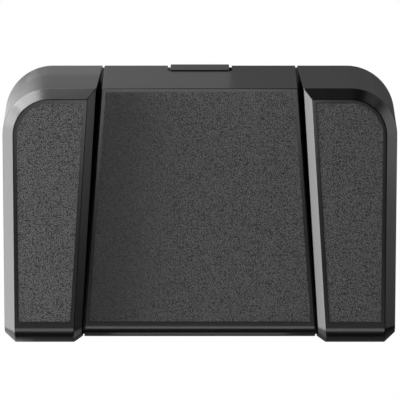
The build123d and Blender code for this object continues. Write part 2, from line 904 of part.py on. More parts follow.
def base_tray():
    """Floor and rim with all that stands on them."""
    tray = tray_slab(0, plate_top_z, rim_top_z) - tray_slab(rim_thickness, floor_top_z, rim_top_z)
    for gap in rim_gaps():
        tray = tray - gap
    foot_z = floor_top_z - floor_thickness / 2
    boss_top = foot_height + base_screw_length + base_boss_cap
    boss_radius = base_screw_radius + base_boss_wall
    adds = [ear(x0, x1) for x0, x1 in ear_spans()]
    adds += [spring_cup(x, y) for x, y in spring_places()]
    adds += [bracket(x, side) for x, side in bracket_places]
    adds += [post(x, y, foot_z, board_bottom_z, board_post_radius) for x, y in board_screw_places()]
    adds += [post(x, y, foot_z, boss_top, boss_radius) for x, y in base_screw_places()]
    adds += both_sides(catch, side_catch_xs) + both_sides(catch, centre_catch_xs)
    tray = joined([tray] + adds)
    for bore in tray_bores():
        tray = tray - bore
    return tray


def base_screw(x, y, gap=0):
    """Countersunk screw that enters from below, or with a gap its hole in the plate."""
    head = Cone(base_screw_head_radius + gap, base_screw_radius + gap, base_screw_head_height)
    head = Pos(x, y, foot_height + base_screw_head_height / 2) * head
    return head + post(x, y, foot_height, foot_height + base_screw_length, base_screw_radius + gap)


def base_plate():
    """Steel plate that reaches under the pedals' skirts, just inside their outline."""
    plate = slab(
        half_width - plate_edge_gap,
        front_y + centre_setback + plate_edge_gap,
        rear_y - plate_edge_gap,
        plate_front_corner_radius,
        foot_corner_radius - plate_edge_gap,
        foot_height,
        plate_top_z,
    )
    for x, y in base_screw_places():
        plate = plate - base_screw(x, y, fit_gap)
    return plate


def rubber_feet():
    """Four long pads stuck under the plate."""
    y_front = tray_front_y + foot_margin + foot_width / 2
    y_rear = tray_rear_y - foot_margin - foot_width / 2
    feet = []
    for y in (y_front, y_rear):
        for sign in (-1, 1):
            pad = extrude(RectangleRounded(foot_length, foot_width, foot_corner), amount=foot_height)
            pad = chamfer(pad.faces().sort_by(Axis.Z)[0].edges(), foot_edge)
            feet.append(Pos(sign * half_width / 2, y, 0) * pad)
    return feet


def top_screw(x, y, z):
    """Pan-head screw whose head sits on a face at height z."""
    return post(x, y, z - board_screw_length, z, screw_radius) + post(
        x, y, z, z + screw_head_height, screw_head_radius
    )


# Board and socket


def circuit_board():
    half = board_width / 2
    main = block(-half, half, board_front_y, board_rear_y, board_bottom_z, board_top_z)
    main = fillet(main.edges().filter_by(Axis.Z), board_corner)
    half = tongue_width / 2
    y0 = board_rear_y - board_corner
    board = main + block(-half, half, y0, tongue_rear_y, board_bottom_z, board_top_z)
    for x, y in board_screw_places():
        board = board - post(x, y, board_bottom_z, board_top_z, screw_radius + fit_gap)
    return board


def board_chips():
    """Controller, memory and small parts, each a flat block on the board."""
    y_middle = (board_front_y + board_rear_y) / 2
    chips = []
    for x, y, width, depth, height in chip_table:
        x0 = x - width / 2
        y0 = y_middle + y - depth / 2
        chips.append(block(x0, x0 + width, y0, y0 + depth, board_top_z, board_top_z + height))
    return chips


def usb_socket():
    """Rounded metal mouth with its contact tongue."""
    y0 = plug_floor_y - socket_depth

    def sleeve(skin, start):
        width = socket_width - 2 * skin
        height = socket_height - 2 * skin
        face = Plane.XZ * RectangleRounded(width, height, socket_corner - skin)
        face = Pos(0, start, socket_z) * face
        return extrude(face, amount=plug_floor_y - start, dir=(0, 1, 0))

    shell = sleeve(0, y0) - sleeve(socket_skin, y0 + 2 * socket_skin)
    half = socket_tongue_width / 2
    half_height = socket_tongue / 2
    y1 = plug_floor_y - 2 * socket_skin
    return shell + block(-half, half, y0, y1, socket_z - half_height, socket_z + half_height)


def port_housing():
    """Block around the socket, with a recess for a plug's grip and a tab that fills the pedal's notch."""
    half = port_width / 2
    tab_top_z = notch_top_z - tab_top_gap
    tab_front_y = rear_face_y(notch_top_z) + tab_front_gap
    outline = [
        (port_front_y, floor_top_z),
        (tray_rear_y + fit_gap, floor_top_z),
        (tray_rear_y + fit_gap, plate_top_z),
        (port_face_y, plate_top_z),
        (port_face_y, port_lean_z),
        (tab_front_y + tab_edge, tab_top_z),
        (tab_front_y, tab_top_z),
        (tab_front_y + tab_root_lean, port_top_z),
        (port_front_y, port_top_z),
    ]
    shape = side_profile(outline, -half, half)
    ear_x = half + port_ear_width
    ear_top = floor_top_z + port_ear_height
    shape = shape + block(-ear_x, ear_x, port_front_y, tray_rear_y, floor_top_z, ear_top)
    cave = tongue_width / 2 + port_inner_gap
    cave_top = port_top_z - port_wall / 2
    shape = shape - block(-cave, cave, port_front_y - overrun, web_y, floor_top_z, cave_top)
    plug = Plane.XZ * RectangleRounded(plug_width, plug_height, plug_corner)
    plug = Pos(0, plug_floor_y, socket_z) * plug
    shape = shape - extrude(plug, amount=overrun, dir=(0, 1, 0))
    hole_width = socket_width + 2 * socket_hole_gap
    hole_height = socket_height + 2 * socket_hole_gap
    hole = RectangleRounded(hole_width, hole_height, socket_corner + socket_hole_gap)
    hole = Pos(0, web_y - port_web, socket_z) * (Plane.XZ * hole)
    shape = shape - extrude(hole, amount=3 * port_web, dir=(0, 1, 0))
    for x, y in port_screw_places():
        shape = shape - post(x, y, floor_top_z, ear_top, screw_radius + fit_gap)
    return shape


def header_xs():
    return (-header_pitch, 0, header_pitch)


def lead_headers():
    """Open-fronted wire connectors on the board's front edge."""
    headers = []
    for x in header_xs():
        half = header_width / 2
        y0 = board_front_y
        y1 = board_front_y + header_depth
        shell = block(x - half, x + half, y0, y1, board_top_z, board_top_z + header_height)
        bore = rod_y(x, y0 - fit_gap, y1 - header_wall, header_mouth_z, lead_radius + fit_gap)
        headers.append(shell - bore)
    return headers


def turn_radii(points):
    """The largest arc that each corner of a route has room for."""
    radii = []
    for before, here, after in zip(points, points[1:], points[2:]):
        first = Vector(*here) - Vector(*before)
        second = Vector(*after) - Vector(*here)
        turn = radians(first.get_angle(second))
        radii.append(lead_bend_share * min(first.length, second.length) / tan(turn / 2))
    return radii


def switch_lead(points, name):
    """Sheathed pair of wires from a board header to a switch."""
    radii = turn_radii(points)
    print(name, "lead radii", [round(r, 1) for r in radii])
    path = FilletPolyline(*points, radius=radii)
    start = Plane(origin=path @ 0, z_dir=path % 0)
    return sweep(start * Circle(lead_radius), path=path)


lead_z = floor_top_z + lead_radius + lead_floor_gap
lead_start_y = board_front_y + header_depth - header_wall - fit_gap
lead_end_y = case_y + terminal_pitch + terminal_thickness / 2


def side_lead(sign):
    """Route from an outer header along the floor to a side switch."""
    fall_y = board_front_y - lead_fall
    cross_y = lead_end_y + lead_cross_share * (fall_y - lead_end_y)
    points = [
        (header_pitch, lead_start_y, header_mouth_z),
        (header_pitch, board_front_y - lead_straight, header_mouth_z),
        (header_pitch + lead_swing, fall_y, lead_z),
        (side_middle_x / 2, cross_y, lead_z),
        (side_middle_x - header_pitch, cross_y, lead_z),
        (side_middle_x, (lead_end_y + cross_y) / 2, lead_z),
        (side_middle_x, lead_end_y, lead_z),
    ]
    return [(sign * x, y, z) for x, y, z in points]


def centre_lead():
    return [
        (0, lead_start_y, header_mouth_z),
        (0, board_front_y - lead_straight, header_mouth_z),
        (0, board_front_y - lead_fall, lead_z),
        (0, lead_end_y, lead_z),
    ]


# Springs


def coil(x, y):
    """Compression spring with ground ends: one faceted wire on quarter-turn biarcs."""
    pitch = spring_length / spring_turns
    extra = spring_wire
    z0 = floor_top_z - extra
    turns = (spring_length + 2 * extra) / pitch
    count = int(round(turns * 4))
    z_step = (spring_length + 2 * extra) / count
    turn_step = pi / 2

    def point(i):
        a = i * turn_step
        return Vector(spring_radius * cos(a), spring_radius * sin(a), z0 + i * z_step)

    def tangent(i):
        a = i * turn_step
        flat = spring_radius * turn_step
        return Vector(-flat * sin(a), flat * cos(a), z_step).normalized()

    arcs = []
    for i in range(count):
        p, q, s, e = point(i), point(i + 1), tangent(i), tangent(i + 1)
        v = q - p
        both = v.dot(s + e)
        spread = 2 * (1 - s.dot(e))
        d = (-both + sqrt(both**2 + spread * v.dot(v))) / spread
        joint = (p + q + (s - e) * d) * (1 / 2)
        middle_tangent = (q - e * d - p - s * d).normalized()
        arcs.append(TangentArc(p, joint, tangent=s))
        arcs.append(TangentArc(joint, q, tangent=middle_tangent))
    path = Wire([arc.edge() for arc in arcs])
    start = Plane(origin=point(0), z_dir=tangent(0))
    wire = sweep(start * RegularPolygon(spring_wire / 2, spring_facets), path=path)
    ends = block(-seat_radius, seat_radius, -seat_radius, seat_radius, floor_top_z, spring_top_z)
    print("spring gap between turns", round(pitch - spring_wire, 2))
    return Pos(x, y, 0) * (wire & ends)


def bump_stop(x, y):
    z0 = floor_top_z + peg_height
    return post(x, y, z0, z0 + stop_height, peg_radius)


def hinge_pin(x0, x1):
    return rod(x0, x1, hinge_y, hinge_z, pin_radius)


def build():
    os.makedirs("parts", exist_ok=True)
    right = right_pedal()
    save("right_pedal", right)
    save("left_pedal", mirror(right, about=Plane.YZ))
    save("centre_pedal", centre_pedal())

    x0, x1 = pin_span_side()
    save("right_hinge_pin", hinge_pin(x0, x1))
    save("left_hinge_pin", hinge_pin(-x1, -x0))
    centre_end = seam_x(hinge_y, hinge_z) - pin_end_gap
    save("centre_hinge_pin", hinge_pin(-centre_end, centre_end))
    save("hinge_bearings", group(bearing(a, b) for a, b in ear_spans()))

    save("base_tray", base_tray())
    save("base_plate", base_plate())
    save("rubber_feet", group(rubber_feet()))
    save("base_screws", group(base_screw(x, y) for x, y in base_screw_places()))

    save("left_spring", coil(-side_middle_x, spring_y))
    save("right_spring", coil(side_middle_x, spring_y))
    save("centre_springs", group([coil(-centre_spring_x, spring_y), coil(centre_spring_x, spring_y)]))
    save("bump_stops", group(bump_stop(x, y) for x, y in spring_places()))

    screws = []
    terminals = []
    for name, (x, side) in zip(("left", "centre", "right"), bracket_places):
        save(f"{name}_switch_case", switch_case(x))
        save(f"{name}_switch_lever", switch_lever(x))
        save(f"{name}_switch_button", switch_button(x))
        screws += switch_screws(x, side)
        terminals += switch_terminals(x)
    save("switch_screws", group(screws))
    save("switch_terminals", group(terminals))

    save("circuit_board", circuit_board())
    save("board_chips", group(board_chips()))
    save("board_screws", group(top_screw(x, y, board_top_z) for x, y in board_screw_places()))
    save("usb_socket", usb_socket())
    save("port_housing", port_housing())
    ear_top = floor_top_z + port_ear_height
    save("port_screws", group(top_screw(x, y, ear_top) for x, y in port_screw_places()))
    save("lead_headers", group(lead_headers()))
    leads = [switch_lead(side_lead(-1), "left"), switch_lead(centre_lead(), "centre")]
    save("switch_leads", group(leads + [switch_lead(side_lead(1), "right")]))

    print("hinge at y", round(hinge_y, 3), "z", round(hinge_z, 3))
    print("lever pivot at y", round(pivot_y, 4), "z", round(pivot_z, 4))
    print("lever ratio", round(lever_ratio, 5), "pressed angle", round(degrees(pressed_rise), 3))
    print("button ratio in metres per radian", round(button_ratio / 1000, 6))


build()
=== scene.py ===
# %% [markdown]
# # A three-pedal foot switch, dressed for its picture
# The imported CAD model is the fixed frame. Every piece below is placed in metres on top of it.
# X runs to the right, Y to the rear and Z up, and the rubber feet stand on Z = 0.

import math

import bmesh
import bpy
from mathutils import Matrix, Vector
from mathutils.bvhtree import BVHTree


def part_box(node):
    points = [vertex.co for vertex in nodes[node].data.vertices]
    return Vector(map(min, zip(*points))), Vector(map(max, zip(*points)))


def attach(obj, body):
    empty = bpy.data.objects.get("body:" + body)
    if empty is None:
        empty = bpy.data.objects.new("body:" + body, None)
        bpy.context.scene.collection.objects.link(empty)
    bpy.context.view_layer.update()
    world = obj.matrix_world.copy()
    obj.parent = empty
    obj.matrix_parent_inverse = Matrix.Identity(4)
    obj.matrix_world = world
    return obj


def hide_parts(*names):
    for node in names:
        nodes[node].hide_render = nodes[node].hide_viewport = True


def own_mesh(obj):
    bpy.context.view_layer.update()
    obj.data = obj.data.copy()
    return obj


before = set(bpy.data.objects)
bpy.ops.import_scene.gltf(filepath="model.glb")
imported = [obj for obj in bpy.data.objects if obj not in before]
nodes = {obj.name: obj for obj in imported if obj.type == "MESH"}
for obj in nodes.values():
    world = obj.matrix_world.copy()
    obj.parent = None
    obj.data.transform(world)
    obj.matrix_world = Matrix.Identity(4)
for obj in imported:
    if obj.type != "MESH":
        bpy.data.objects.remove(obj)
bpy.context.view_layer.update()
MM = 0.001

# %% [markdown]
# ## Camera
# The photograph looks straight down on the switch from about 2.4 m, so a long lens and a level
# camera give its slight perspective: decks near the lens look a little larger than the skirts.

# %% Camera above the switch
IMAGE_PIXELS = 400
FOCAL_PIXELS = 3938
SENSOR_WIDTH_MM = 36.0
CAMERA_PLACE_MM = (0.09, 1.9, 2440.0)

camera_data = bpy.data.cameras.new("overhead_camera")
camera_data.sensor_width = SENSOR_WIDTH_MM
camera_data.lens = FOCAL_PIXELS / IMAGE_PIXELS * SENSOR_WIDTH_MM
camera = bpy.data.objects.new("overhead_camera", camera_data)
camera.location = Vector(CAMERA_PLACE_MM) * MM
bpy.context.scene.collection.objects.link(camera)
bpy.context.scene.camera = camera
bpy.context.scene.view_settings.view_transform = "Standard"
print("lens", round(camera_data.lens, 1), "mm")

# %% [markdown]
# ## Nodes and colours
# Each finish is a small node tree. One helper adds a node together with its settings and what
# feeds it, and another turns a colour given as sRGB hex into the shader's linear values.

# %% Helpers for materials
def linear(hex_colour):
    """RGBA in linear light from an sRGB hex colour."""
    channels = [int(hex_colour[i : i + 2], 16) / 255 for i in (1, 3, 5)]
    curve = [c / 12.92 if c <= 0.04045 else ((c + 0.055) / 1.055) ** 2.4 for c in channels]
    return (*curve, 1.0)


def add_node(tree, kind, settings=None, feeds=None):
    """Adds one node with its properties (settings) and its inputs (feeds: a value or a socket)."""
    node = tree.nodes.new(kind)
    for name, value in (settings or {}).items():
        setattr(node, name, value)
    for name, value in (feeds or {}).items():
        if isinstance(value, bpy.types.NodeSocket):
            tree.links.new(value, node.inputs[name])
        else:
            node.inputs[name].default_value = value
    return node


def new_finish(name, colour, roughness, metallic=0.0, ior=1.5):
    """A material with a plain surface, ready for its pattern."""
    finish = bpy.data.materials.new(name)
    finish.use_nodes = True
    shader = finish.node_tree.nodes["Principled BSDF"]
    shader.inputs["Base Color"].default_value = linear(colour)
    shader.inputs["Roughness"].default_value = roughness
    shader.inputs["Metallic"].default_value = metallic
    shader.inputs["IOR"].default_value = ior
    return finish, finish.node_tree, shader


def grain_noise(tree, grain_mm, detail=2.0, stretch=(1.0, 1.0, 1.0)):
    """Noise with lumps grain_mm across on the real piece, longer along axes with less stretch."""
    place = add_node(tree, "ShaderNodeTexCoord")
    feeds = {"Vector": place.outputs["Object"], "Scale": stretch}
    scaled = add_node(tree, "ShaderNodeMapping", feeds=feeds)
    noise = add_node(
        tree,
        "ShaderNodeTexNoise",
        feeds={"Vector": scaled.outputs["Vector"], "Scale": 1 / (grain_mm * MM), "Detail": detail},
    )
    return noise.outputs["Fac"]


def raise_grain(tree, shader, pattern, height_mm):
    """Turns the pattern into relief of that height, or of that depth with a minus sign."""
    feeds = {"Height": pattern, "Distance": height_mm * MM, "Strength": 1.0}
    bump = add_node(tree, "ShaderNodeBump", feeds=feeds)
    tree.links.new(bump.outputs["Normal"], shader.inputs["Normal"])


def tint(tree, shader, pattern, first, second, low=0.35, high=0.65):
    """Lets the colour go from one shade to another as the pattern goes from low to high."""
    ramp = add_node(tree, "ShaderNodeValToRGB", feeds={"Fac": pattern})
    ramp.color_ramp.elements[0].position = low
    ramp.color_ramp.elements[0].color = linear(first)
    ramp.color_ramp.elements[1].position = high
    ramp.color_ramp.elements[1].color = linear(second)
    tree.links.new(ramp.outputs["Color"], shader.inputs["Base Color"])


def let_light_in(shader, weight, radius_mm):
    """Lets light scatter under the surface, as pale plastics do."""
    shader.inputs["Subsurface Weight"].default_value = weight
    shader.inputs["Subsurface Radius"].default_value = [r * MM for r in radius_mm]


print("helpers for materials ready")

# %% [markdown]
# ## Moulded black ABS
# The pedals are injection moulded in black ABS. The decks come from a spark-eroded part of the
# mould, which leaves pebbles about 0.6 mm apart. Their chamfers, skirts and borders come from a
# polished part and have a soft satin gloss that picks up the light boxes. The tread's colour also
# carries painted shade in the hollows between the pebbles and painted light on their crowns.

# %% ABS finishes
PEBBLE_MM = 0.62
pebble_grain_and_shade_abs, tree, shader = new_finish("moulded_ABS_grain_and_painted_shade", "#3A3A3A", 0.6, ior=1.54)
place = add_node(tree, "ShaderNodeTexCoord")
feeds = {"Vector": place.outputs["Object"], "Scale": 1 / (PEBBLE_MM * MM)}
pebbles = add_node(tree, "ShaderNodeTexVoronoi", feeds=feeds).outputs["Distance"]
# Painted shade and light: near black in the hollows between pebbles, light grey on their crowns.
tint(tree, shader, pebbles, "#727272", "#040404", low=0.28, high=0.64)
raise_grain(tree, shader, pebbles, height_mm=-0.08)

satin_abs, tree, shader = new_finish("moulded_ABS_satin", "#0B0B0B", roughness=0.24, ior=1.54)
raise_grain(tree, shader, grain_noise(tree, 0.25, detail=1.0), height_mm=0.001)

housing_abs, tree, shader = new_finish("moulded_ABS_housing", "#161616", roughness=0.3, ior=1.54)
raise_grain(tree, shader, grain_noise(tree, 0.3, detail=1.0), height_mm=0.001)

tray_abs, tree, shader = new_finish("moulded_ABS_tray", "#0C0C0C", roughness=0.5, ior=1.54)
raise_grain(tree, shader, grain_noise(tree, 0.4), height_mm=0.01)
print("ABS finishes", *(finish.name for finish in (pebble_grain_and_shade_abs, satin_abs, housing_abs, tray_abs)))

# %% [markdown]
# ## Finishes of the metal, rubber and inner pieces
# None of these show from above, but they do when the switch is turned over or opened.

# %% Metal finishes
powder_coat, tree, shader = new_finish("powder_coat_on_steel", "#2A2A2C", roughness=0.55)
raise_grain(tree, shader, grain_noise(tree, 0.5, detail=3.0), height_mm=0.02)

black_zinc, tree, shader = new_finish("black_zinc_steel", "#4A4A4E", roughness=0.38, metallic=1.0)
tint(tree, shader, grain_noise(tree, 0.6), "#3E3E42", "#56565A")

ground_steel, tree, shader = new_finish("ground_steel", "#B4B5B8", roughness=0.22, metallic=1.0)
raise_grain(tree, shader, grain_noise(tree, 0.12, stretch=(1.0, 0.05, 0.05)), height_mm=0.001)

strip_steel, tree, shader = new_finish("rolled_steel_strip", "#BDBDBD", 0.28, metallic=1.0)
raise_grain(tree, shader, grain_noise(tree, 0.1, stretch=(1.0, 0.05, 1.0)), height_mm=0.0008)

music_wire, tree, shader = new_finish("drawn_music_wire", "#9A9A9E", roughness=0.3, metallic=1.0)
tint(tree, shader, grain_noise(tree, 0.8), "#8C8C90", "#A8A8AC")

nickel, tree, shader = new_finish("nickel_plate", "#C4C2BC", roughness=0.24, metallic=1.0)
tint(tree, shader, grain_noise(tree, 1.5), "#BAB8B2", "#CCCAC4")

brass, tree, shader = new_finish("stamped_brass", "#C9A45C", roughness=0.32, metallic=1.0)
tint(tree, shader, grain_noise(tree, 0.7), "#BC9850", "#D2AE68")
print("metal finishes ready")

# %% Rubber, acetal and board finishes
nitrile, tree, shader = new_finish("moulded_nitrile_rubber", "#1B1B1B", roughness=0.82, ior=1.52)
tint(tree, shader, grain_noise(tree, 0.7, detail=4.0), "#161616", "#242424")
raise_grain(tree, shader, grain_noise(tree, 0.5, detail=3.0), height_mm=0.02)

acetal, tree, shader = new_finish("moulded_acetal", "#E3E1D8", roughness=0.35, ior=1.48)
let_light_in(shader, 0.15, radius_mm=(2.0, 1.8, 1.5))
raise_grain(tree, shader, grain_noise(tree, 0.4), height_mm=0.003)

switch_pbt, tree, shader = new_finish("moulded_PBT", "#1C1C20", roughness=0.45, ior=1.55)
raise_grain(tree, shader, grain_noise(tree, 0.3), height_mm=0.008)

red_pbt, tree, shader = new_finish("red_PBT", "#B5231A", roughness=0.3, ior=1.55)
raise_grain(tree, shader, grain_noise(tree, 0.2), height_mm=0.002)

solder_mask, tree, shader = new_finish("solder_mask_on_laminate", "#0F4A22", roughness=0.3)
tint(tree, shader, grain_noise(tree, 3.0, detail=3.0), "#0C3F1C", "#155528")

chip_epoxy, tree, shader = new_finish("moulded_epoxy", "#202020", roughness=0.6)
raise_grain(tree, shader, grain_noise(tree, 0.15), height_mm=0.006)

nylon, tree, shader = new_finish("moulded_nylon", "#E6E2D2", roughness=0.42, ior=1.53)
let_light_in(shader, 0.1, radius_mm=(1.5, 1.4, 1.2))
raise_grain(tree, shader, grain_noise(tree, 0.3), height_mm=0.004)

pvc_sheath, tree, shader = new_finish("extruded_PVC", "#1E1E1E", roughness=0.4, ior=1.53)
raise_grain(tree, shader, grain_noise(tree, 0.6), height_mm=0.006)
print("rubber, acetal and board finishes ready")

# %% [markdown]
# ## Which finish each CAD node gets
# The CAD shapes of the inner pieces are right as they are, so they keep their mesh and only take a
# finish. The mesh of a CAD node is never changed.

# %% Finishes of the CAD nodes
SIDES = ("left", "centre", "right")
finish_of = {
    "base_tray": tray_abs,
    "base_plate": powder_coat,
    "rubber_feet": nitrile,
    "bump_stops": nitrile,
    "port_housing": housing_abs,
    "usb_socket": nickel,
    "circuit_board": solder_mask,
    "board_chips": chip_epoxy,
    "lead_headers": nylon,
    "switch_leads": pvc_sheath,
    "switch_terminals": brass,
    "hinge_bearings": acetal,
}
for screws in ("base_screws", "port_screws", "board_screws", "switch_screws"):
    finish_of[screws] = black_zinc
for spring in ("left_spring", "centre_springs", "right_spring"):
    finish_of[spring] = music_wire
for side in SIDES:
    finish_of[f"{side}_pedal"] = satin_abs
    finish_of[f"{side}_hinge_pin"] = ground_steel
    finish_of[f"{side}_switch_case"] = switch_pbt
    finish_of[f"{side}_switch_lever"] = strip_steel
    finish_of[f"{side}_switch_button"] = red_pbt

for name, finish in finish_of.items():
    slots = nodes[name].data.materials
    slots.clear()
    slots.append(finish)
print("finished", len(finish_of), "of", len(nodes), "nodes")

# %% [markdown]
# ## Eased edges
# A moulded shell has no razor edges: the mould leaves a radius of a few tenths of a millimetre,
# and the thin bright and dark lines along the chamfers come from it. A copy of the CAD shell gets
# that radius on its outer edges only. An outer face is one whose normal runs out into the open.

# %% Helpers for eased copies
WELD = 0.002 * MM
FLAT_ANGLE = math.radians(0.3)
EDGE_ANGLE = math.radians(24)
SMOOTH_ANGLE = math.radians(30)
RAY_LIFT = 0.05 * MM
OPEN_REACH = 0.6


def welded_copy(name):
    """A bmesh of a CAD node with its split corners welded and its flat faces whole."""
    mesh = bmesh.new()
    mesh.from_mesh(nodes[name].data)
    bmesh.ops.remove_doubles(mesh, verts=mesh.verts, dist=WELD)
    bmesh.ops.dissolve_limit(mesh, angle_limit=FLAT_ANGLE, verts=mesh.verts, edges=mesh.edges)
    for face in mesh.faces:
        face.material_index = 0
    return mesh


def outer_faces(mesh):
    """Faces that nothing of the same piece stands in front of."""
    tree = BVHTree.FromBMesh(mesh)
    outer = set()
    for face in mesh.faces:
        start = face.calc_center_median() + face.normal * RAY_LIFT
        if tree.ray_cast(start, face.normal, OPEN_REACH)[0] is None:
            outer.add(face.index)
    return outer


def ease_edges(mesh, width_mm, segments=3):
    """Rounds the convex edges between two outer faces."""
    mesh.normal_update()
    mesh.faces.index_update()
    outer = outer_faces(mesh)
    chosen = []
    for edge in mesh.edges:
        if len(edge.link_faces) != 2 or not edge.is_convex:
            continue
        if edge.calc_face_angle() > EDGE_ANGLE and all(f.index in outer for f in edge.link_faces):
            chosen.append(edge)
    bmesh.ops.bevel(
        mesh,
        geom=chosen,
        offset=width_mm * MM,
        offset_type="OFFSET",
        segments=segments,
        profile=0.5,
        affect="EDGES",
        clamp_overlap=False,
    )
    return len(chosen)


def keep_faces_flat(data):
    """Corner normals weighted by area: large faces stay flat and only the eased edges bend."""
    near = math.cos(SMOOTH_ANGLE)
    around = [[] for _ in data.vertices]
    for face in data.polygons:
        for corner in face.vertices:
            around[corner].append((face.normal.copy(), face.area))
    normals = []
    for face in data.polygons:
        for corner in face.vertices:
            total = Vector((0, 0, 0))
            for normal, area in around[corner]:
                if normal.dot(face.normal) >= near:
                    total += normal * area
            normals.append(total.normalized())
    data.normals_split_custom_set(normals)


def put_in_order(mesh):
    """Sorts corners and faces by place, so that each run stores the same mesh."""
    by_place = sorted(mesh.verts, key=lambda vert: tuple(vert.co))
    for index, vert in enumerate(by_place):
        vert.index = index
    by_middle = sorted(mesh.faces, key=lambda face: tuple(face.calc_center_median()))
    for index, face in enumerate(by_middle):
        face.index = index
    mesh.verts.sort()
    mesh.faces.sort()


def finish_piece(mesh, name, body, replaced, finishes):
    """Makes the object, shades its gentle bends smooth and puts it on its body."""
    data = bpy.data.meshes.new(name)
    put_in_order(mesh)
    mesh.normal_update()
    mesh.to_mesh(data)
    mesh.free()
    for finish in finishes:
        data.materials.append(finish)
    data.polygons.foreach_set("use_smooth", [True] * len(data.polygons))
    data.set_sharp_from_angle(angle=SMOOTH_ANGLE)
    keep_faces_flat(data)
    piece = bpy.data.objects.new(name, data)
    bpy.context.scene.collection.objects.link(piece)
    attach(piece, body)
    if replaced:
        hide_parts(*replaced)
    return piece


print("helpers for eased copies ready")

# %% [markdown]
# ## Pedal shells
# The grained tread ends a little over 2 mm before the deck's edges, and 3 mm before the front roll
# starts. It is cut into the deck face by two insets: the first makes the border, the second a
# hair-thin step down to the tread.

# %% Pedal shells with their treads
TREAD_BORDER_MM = 2.3
TREAD_STEP_MM = 0.06
TREAD_STEP_RUN_MM = 0.12
TREAD_FRONT_Y_MM = -72.8
PEDAL_EDGE_MM = 0.4
DECK_TILT = math.radians(12.49)
UPWARD_NORMAL_Z = 0.9
FRONT_ROW = 0.1 * MM
TREAD = 1


def deck_face(mesh):
    """The large upper face."""
    up = [f for f in mesh.faces if f.normal.z > UPWARD_NORMAL_Z]
    return max(up, key=lambda f: f.calc_area())


for side in SIDES:
    shell = welded_copy(f"{side}_pedal")
    eased = ease_edges(shell, PEDAL_EDGE_MM)
    shell.normal_update()
    deck = deck_face(shell)
    deck_corners = len(deck.verts)
    border = (TREAD_BORDER_MM - PEDAL_EDGE_MM) * MM
    bmesh.ops.inset_region(shell, faces=[deck], thickness=border, use_even_offset=True)
    front = min(v.co.y for v in deck.verts)
    shift = TREAD_FRONT_Y_MM * MM - front
    for vert in deck.verts:
        if vert.co.y < front + FRONT_ROW:
            vert.co += Vector((0, shift, shift * math.tan(DECK_TILT)))
    bmesh.ops.inset_region(
        shell,
        faces=[deck],
        thickness=TREAD_STEP_RUN_MM * MM,
        depth=-TREAD_STEP_MM * MM,
        use_even_offset=True,
    )
    deck.material_index = TREAD
    finish_piece(
        shell,
        f"{side}_pedal_shell",
        f"{side}_pedal",
        [f"{side}_pedal"],
        [satin_abs, pebble_grain_and_shade_abs],
    )
    print(side, "deck corners", deck_corners, "eased edges", eased)

# %% [markdown]
# ## Port housing and steel plate
# The housing around the computer socket is a small moulding of a plainer, greyer ABS, and its tab
# fills the notch in the centre pedal. The plate is cut from sheet and powder coated, so its rims
# are a little rounder than a bare cut. Both are eased copies of their CAD nodes.

# %% Eased housing and plate
HOUSING_EDGE_MM = 0.2
PLATE_EDGE_MM = 0.25
for node, width_mm, slot, finish in (
    ("port_housing", HOUSING_EDGE_MM, "port_plastic", housing_abs),
    ("base_plate", PLATE_EDGE_MM, "plate_steel", powder_coat),
):
    piece = welded_copy(node)
    eased = ease_edges(piece, width_mm, segments=2)
    finish_piece(piece, f"{node}_eased", "base", [node], [finish])
    print(node, "eased edges", eased)

# %% [markdown]
# ## Socket contacts
# A USB-C socket has a row of twelve gold-plated contacts on each face of its tongue, 0.5 mm apart.
# They are thin pads with eased rims that lie on the tongue between its root and its lip.

# %% Gold contacts on the socket's tongue
TONGUE_HALF_MM = 0.35
TONGUE_INSET_MM = 0.6
TONGUE_LIP_MM = 0.6
CONTACT_PITCH_MM = 0.5
CONTACT_SIZE_MM = (0.26, 3.4, 0.06)
CONTACT_RIM_MM = 0.02
CONTACTS = 12
gold, tree, shader = new_finish("gold_plate", "#D8A94A", roughness=0.2, metallic=1.0)
tint(tree, shader, grain_noise(tree, 0.4), "#CC9C40", "#E0B456")

socket_low, socket_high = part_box("usb_socket")
tongue_z = (socket_low[2] + socket_high[2]) / 2
tongue_end_y = socket_high[1] - TONGUE_INSET_MM * MM
lip_y = tongue_end_y - TONGUE_LIP_MM * MM
width_mm, length_mm, thickness_mm = CONTACT_SIZE_MM
contacts = bmesh.new()
for face_sign in (-1, 1):
    z = tongue_z + face_sign * TONGUE_HALF_MM * MM
    for index in range(CONTACTS):
        x = (index - (CONTACTS - 1) / 2) * CONTACT_PITCH_MM * MM
        for vert in bmesh.ops.create_cube(contacts, size=1.0)["verts"]:
            vert.co.x = x + vert.co.x * width_mm * MM
            vert.co.y = lip_y + (vert.co.y - 0.5) * length_mm * MM
            vert.co.z = z + vert.co.z * thickness_mm * MM
bmesh.ops.bevel(
    contacts,
    geom=contacts.edges[:],
    offset=CONTACT_RIM_MM * MM,
    segments=1,
    profile=0.5,
    affect="EDGES",
    clamp_overlap=True,
)
finish_piece(contacts, "socket_contacts", "base", [], [gold])
print("contacts", CONTACTS * 2)

# %% [markdown]
# ## Screws with cross recesses
# The plate is held by countersunk machine screws, and small pan-head screws hold the board, the
# housing and the switches. Each screw is turned from a profile, and its recess is a plus-shaped
# hole in the head face whose walls taper to a smaller plus. The places come from the CAD screws.

# %% Helpers for screws
TURN_STEPS = 32
RECESS_ARM_SHARE = 0.62
RECESS_HALF_WIDTH_SHARE = 0.17
TAPERED_ARM_SHARE = 0.5
TAPERED_WIDTH_SHARE = 0.8


def loose_parts(name):
    """Lowest and highest corner of each separate solid in a CAD node, from left to right."""
    mesh = bmesh.new()
    mesh.from_mesh(nodes[name].data)
    bmesh.ops.remove_doubles(mesh, verts=mesh.verts, dist=WELD)
    left = set(mesh.verts)
    boxes = []
    while left:
        stack = [left.pop()]
        part = list(stack)
        while stack:
            for edge in stack.pop().link_edges:
                for vert in edge.verts:
                    if vert in left:
                        left.remove(vert)
                        stack.append(vert)
                        part.append(vert)
        low = [min(v.co[i] for v in part) for i in range(3)]
        high = [max(v.co[i] for v in part) for i in range(3)]
        boxes.append((low, high))
    mesh.free()
    return sorted(boxes)


